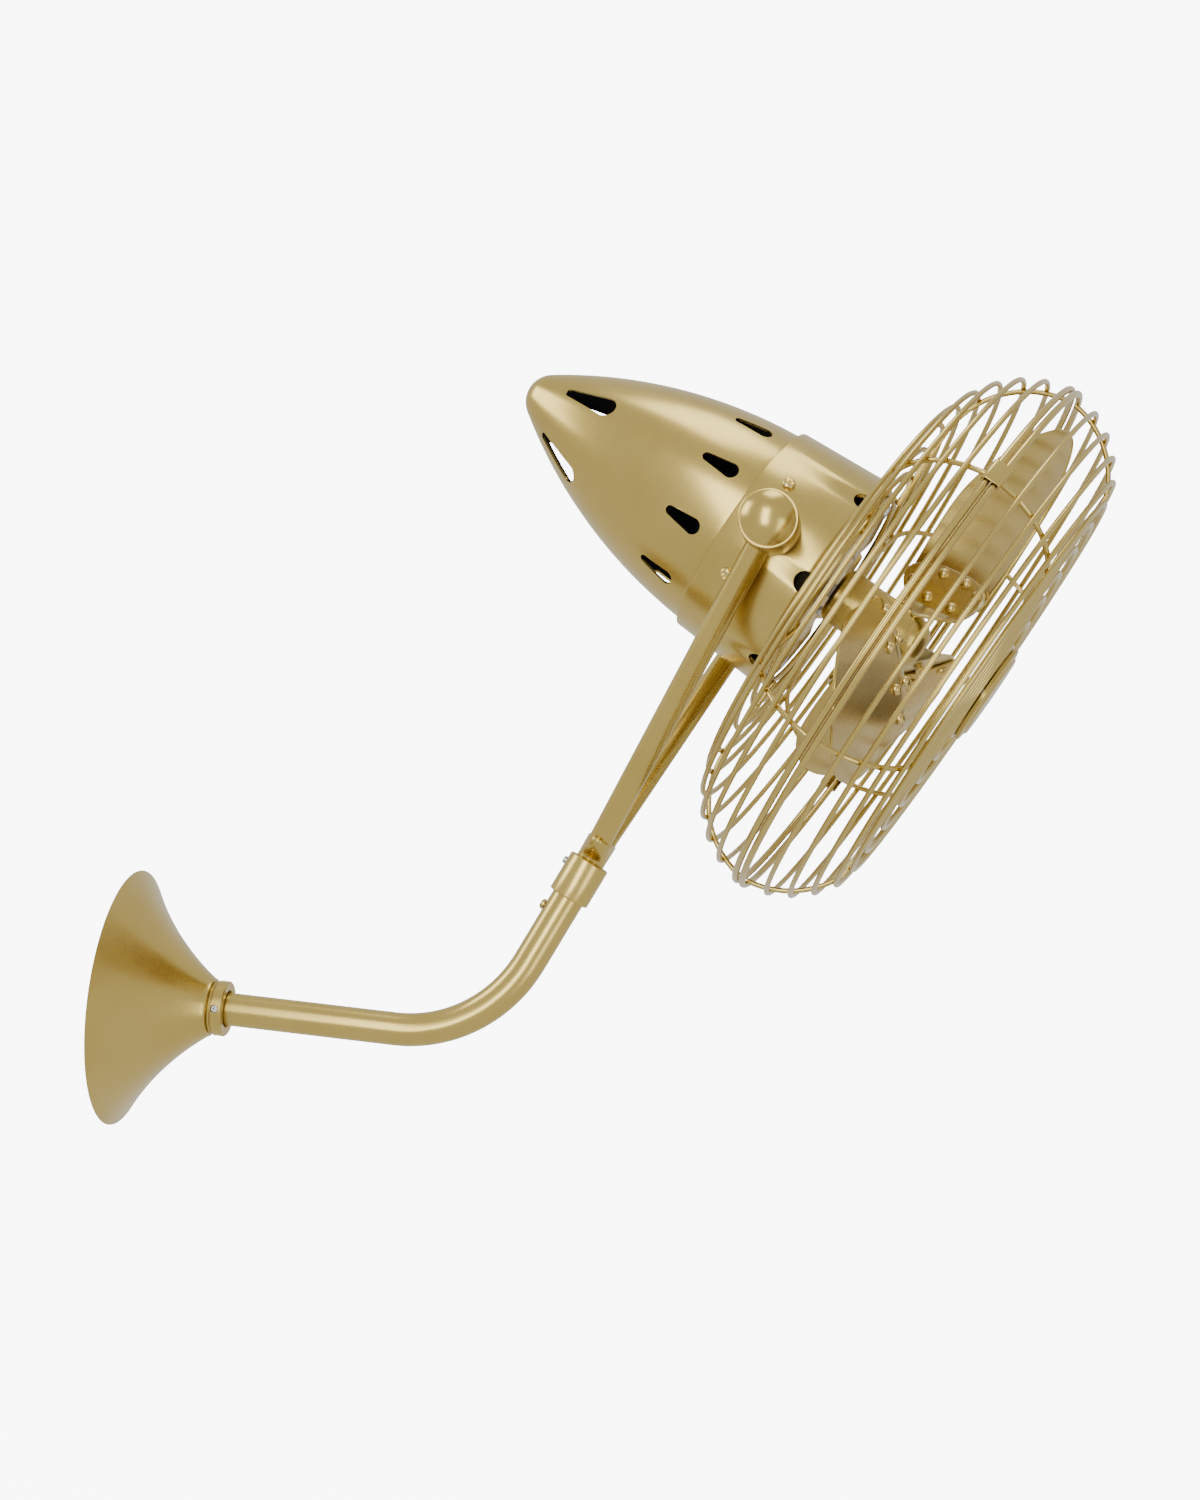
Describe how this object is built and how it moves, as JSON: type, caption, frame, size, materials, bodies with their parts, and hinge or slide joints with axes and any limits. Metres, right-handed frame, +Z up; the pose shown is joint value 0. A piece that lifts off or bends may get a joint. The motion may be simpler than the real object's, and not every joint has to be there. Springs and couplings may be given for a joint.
{
  "type": "wall mounted fan",
  "caption": "Wall mounted fan on a bent arm, with a swivelling fork, a tilting bullet shaped housing and a caged rotor.",
  "frame": {"origin": "middle of the wall face, where the arm's axis meets the plane of the canopy's rim", "axes": "+X straight out of the wall, +Z up, -Y towards the side that the picture shows"},
  "size_m": [0.5939, 0.3688, 0.53],
  "materials": {
    "satin_brass": "satin, brushed round, clear coated",
    "bright_brass": "polished",
    "plated_steel": "zinc plated",
    "motor_black": "black paint"
  },
  "bodies": {
    "wall_mount": {"wall_plate": "plated_steel", "arm_flange": "plated_steel", "flange_screw_1": "plated_steel", "flange_screw_2": "plated_steel", "flange_screw_3": "plated_steel", "wall_canopy": "satin_brass", "canopy_ring": "satin_brass", "ring_set_screw": "plated_steel", "arm_tube": "satin_brass", "coupling_collar": "satin_brass", "collar_screw": "plated_steel", "arm_lock_screw": "satin_brass"},
    "yoke": {"yoke_stem": "satin_brass", "yoke_tube_left": "satin_brass", "yoke_tube_right": "satin_brass", "knuckle_left": "satin_brass", "knuckle_right": "satin_brass", "knuckle_cap_left": "satin_brass", "knuckle_cap_right": "satin_brass"},
    "head": {"pivot_bolt_left": "plated_steel", "pivot_bolt_right": "plated_steel", "pivot_washer_left": "plated_steel", "pivot_washer_right": "plated_steel", "pivot_spacer_left": "satin_brass", "pivot_spacer_right": "satin_brass", "rear_shell": "satin_brass", "front_shell": "satin_brass", "shell_screw_1": "bright_brass", "shell_screw_2": "bright_brass", "shell_screw_3": "bright_brass", "shell_screw_4": "bright_brass", "motor_can": "motor_black", "motor_screw_1": "plated_steel", "motor_screw_2": "plated_steel", "motor_screw_3": "plated_steel", "bearing_front": "plated_steel", "bearing_rear": "plated_steel", "guard_rear": "satin_brass", "guard_front": "satin_brass", "guard_screw_1": "plated_steel", "guard_screw_2": "plated_steel", "guard_screw_3": "plated_steel", "guard_clip_1": "bright_brass", "guard_clip_2": "bright_brass", "guard_badge": "satin_brass", "badge_back_plate": "plated_steel", "badge_screw": "plated_steel"},
    "rotor": {"motor_shaft": "plated_steel", "rotor_hub": "satin_brass", "hub_set_screw": "plated_steel", "iron_screw_1": "satin_brass", "iron_screw_2": "satin_brass", "iron_screw_3": "satin_brass", "blade_iron_1": "satin_brass", "blade_iron_2": "satin_brass", "blade_iron_3": "satin_brass", "blade_1": "satin_brass", "blade_2": "satin_brass", "blade_3": "satin_brass"}
  },
  "joints": [
    {"name": "yoke_swivel", "type": "hinge", "parent": "wall_mount", "child": "yoke", "pos_m": [0.38886, 0, 0.3308], "axis": [0.4226, 0, 0.9063], "range_deg": [-90, 90]},
    {"name": "head_tilt", "type": "hinge", "parent": "yoke", "child": "head", "pos_m": [0.38886, 0, 0.3308], "axis": [0, 1, 0], "range_deg": [-45, 9]},
    {"name": "fan_spin", "type": "hinge", "parent": "head", "child": "rotor", "pos_m": [0.38675, 0, 0.32694], "axis": [0.8775, 0, -0.4796], "continuous": true}
  ]
}
